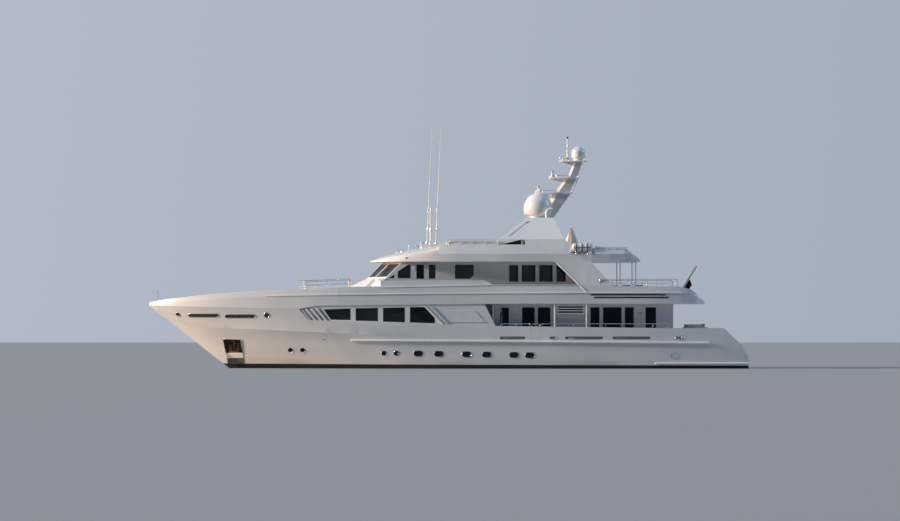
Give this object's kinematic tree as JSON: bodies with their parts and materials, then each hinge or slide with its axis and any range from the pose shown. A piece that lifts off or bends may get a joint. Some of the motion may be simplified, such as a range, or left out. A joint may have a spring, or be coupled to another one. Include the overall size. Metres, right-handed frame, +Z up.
{
  "type": "motor yacht",
  "caption": "Steel motor yacht with a raked flared bow, stepped decks, a wheelhouse, a radar arch and raked mast, twin screws and rudders, and hinged doors and gates.",
  "frame": {"origin": "on the waterline and the centreline, halfway along the length overall", "axes": "+X towards the bow, +Y to port, +Z up"},
  "size_m": [38.614, 8.2498, 18.1005],
  "materials": {
    "white": "gloss",
    "glass": "tinted, polished",
    "bronze": "cast, polished",
    "steel": "polished",
    "fabric": "woven",
    "dark": "satin",
    "plastic": "gelcoat"
  },
  "bodies": {
    "yacht": {"hull": "white", "bow_bulwark": "white", "upper_deck": "white", "main_cross_bulkhead": "white", "saloon_aft_wall": "white", "house_front": "white", "upper_aft_wall": "white", "wheelhouse_roof": "white", "sun_deck": "white", "radar_arch": "white", "mast": "white", "port_upper_bulwark": "white", "port_cabin_wall": "white", "port_saloon_wall": "white", "port_house_wall": "white", "port_sun_coaming": "white", "port_cabin_glass": "glass", "port_saloon_glass": "glass", "port_house_glass": "glass", "port_satellite_dome": "plastic", "port_life_raft": "plastic", "port_anchor": "steel", "starboard_upper_bulwark": "white", "starboard_cabin_wall": "white", "starboard_saloon_wall": "white", "starboard_house_wall": "white", "starboard_sun_coaming": "white", "starboard_cabin_glass": "glass", "starboard_saloon_glass": "glass", "starboard_house_glass": "glass", "starboard_satellite_dome": "plastic", "starboard_life_raft": "plastic", "starboard_anchor": "steel", "windscreen_glass": "glass", "upper_saloon_doors": "glass", "aerials": "plastic", "aft_deck_sofa": "fabric", "helm_console": "dark"},
    "port_propeller": {"port_propeller": "bronze"},
    "port_rudder": {"port_rudder": "steel"},
    "port_stabiliser_fin": {"port_stabiliser_fin": "steel"},
    "port_side_door": {"port_side_door": "white"},
    "port_wing_door": {"port_wing_door": "white"},
    "port_boarding_gate": {"port_boarding_gate": "white"},
    "port_sliding_door": {"port_sliding_door": "glass"},
    "starboard_propeller": {"starboard_propeller": "bronze"},
    "starboard_rudder": {"starboard_rudder": "steel"},
    "starboard_stabiliser_fin": {"starboard_stabiliser_fin": "steel"},
    "starboard_side_door": {"starboard_side_door": "white"},
    "starboard_wing_door": {"starboard_wing_door": "white"},
    "starboard_boarding_gate": {"starboard_boarding_gate": "white"},
    "starboard_sliding_door": {"starboard_sliding_door": "glass"},
    "lower_scanner": {"lower_radar_scanner": "white"},
    "upper_scanner": {"upper_radar_scanner": "white"},
    "transom_door": {"transom_door": "white"}
  },
  "joints": [
    {"name": "port_propeller_spin", "type": "hinge", "parent": "yacht", "child": "port_propeller", "pos_m": [-15.9, 1.75, -1.56], "axis": [0.9967, 0, 0.0806], "continuous": true},
    {"name": "port_rudder_steer", "type": "hinge", "parent": "yacht", "child": "port_rudder", "pos_m": [-17.15, 1.75, -0.2], "axis": [0, 0, 1], "range_deg": [-35, 35]},
    {"name": "port_fin_turn", "type": "hinge", "parent": "yacht", "child": "port_stabiliser_fin", "pos_m": [1.2, 3.33, -1.27], "axis": [0, 0.5817, -0.8134], "range_deg": [-20, 20]},
    {"name": "port_side_door_hinge", "type": "hinge", "parent": "yacht", "child": "port_side_door", "pos_m": [-3.388, 3.0623, 1.9], "axis": [0, 0, -1], "range_deg": [0, 90]},
    {"name": "port_wing_door_hinge", "type": "hinge", "parent": "yacht", "child": "port_wing_door", "pos_m": [2.162, 2.7123, 4.51], "axis": [0, 0, -1], "range_deg": [0, 90]},
    {"name": "port_gate_hinge", "type": "hinge", "parent": "yacht", "child": "port_boarding_gate", "pos_m": [-5.992, 3.92071, 1.9], "axis": [0, 0, -1], "range_deg": [0, 90]},
    {"name": "port_door_slide", "type": "slide", "parent": "yacht", "child": "port_sliding_door", "axis": [0, 1, 0], "range_m": [0, 0.9]},
    {"name": "starboard_propeller_spin", "type": "hinge", "parent": "yacht", "child": "starboard_propeller", "pos_m": [-15.9, -1.75, -1.56], "axis": [0.9967, 0, 0.0806], "continuous": true},
    {"name": "starboard_rudder_steer", "type": "hinge", "parent": "yacht", "child": "starboard_rudder", "pos_m": [-17.15, -1.75, -0.2], "axis": [0, 0, 1], "range_deg": [-35, 35]},
    {"name": "starboard_fin_turn", "type": "hinge", "parent": "yacht", "child": "starboard_stabiliser_fin", "pos_m": [1.2, -3.33, -1.27], "axis": [0, -0.5817, -0.8134], "range_deg": [-20, 20]},
    {"name": "starboard_side_door_hinge", "type": "hinge", "parent": "yacht", "child": "starboard_side_door", "pos_m": [-3.388, -3.0623, 1.9], "axis": [0, 0, 1], "range_deg": [0, 90]},
    {"name": "starboard_wing_door_hinge", "type": "hinge", "parent": "yacht", "child": "starboard_wing_door", "pos_m": [2.162, -2.7123, 4.51], "axis": [0, 0, 1], "range_deg": [0, 90]},
    {"name": "starboard_gate_hinge", "type": "hinge", "parent": "yacht", "child": "starboard_boarding_gate", "pos_m": [-5.992, -3.92071, 1.9], "axis": [0, 0, 1], "range_deg": [0, 90]},
    {"name": "starboard_door_slide", "type": "slide", "parent": "yacht", "child": "starboard_sliding_door", "axis": [0, -1, 0], "range_m": [0, 0.9]},
    {"name": "lower_scanner_spin", "type": "hinge", "parent": "yacht", "child": "lower_scanner", "pos_m": [-5.93, 0, 11.61], "axis": [0, 0, 1], "continuous": true},
    {"name": "upper_scanner_spin", "type": "hinge", "parent": "yacht", "child": "upper_scanner", "pos_m": [-6.83, 0, 12.59], "axis": [0, 0, 1], "continuous": true},
    {"name": "transom_door_hinge", "type": "hinge", "parent": "yacht", "child": "transom_door", "pos_m": [-18.33, 0, 1.582], "axis": [0, 1, 0], "range_deg": [0, 85]}
  ],
  "couplings": [
    {"joint": "starboard_rudder_steer", "follows": "port_rudder_steer", "ratio": 1}
  ]
}
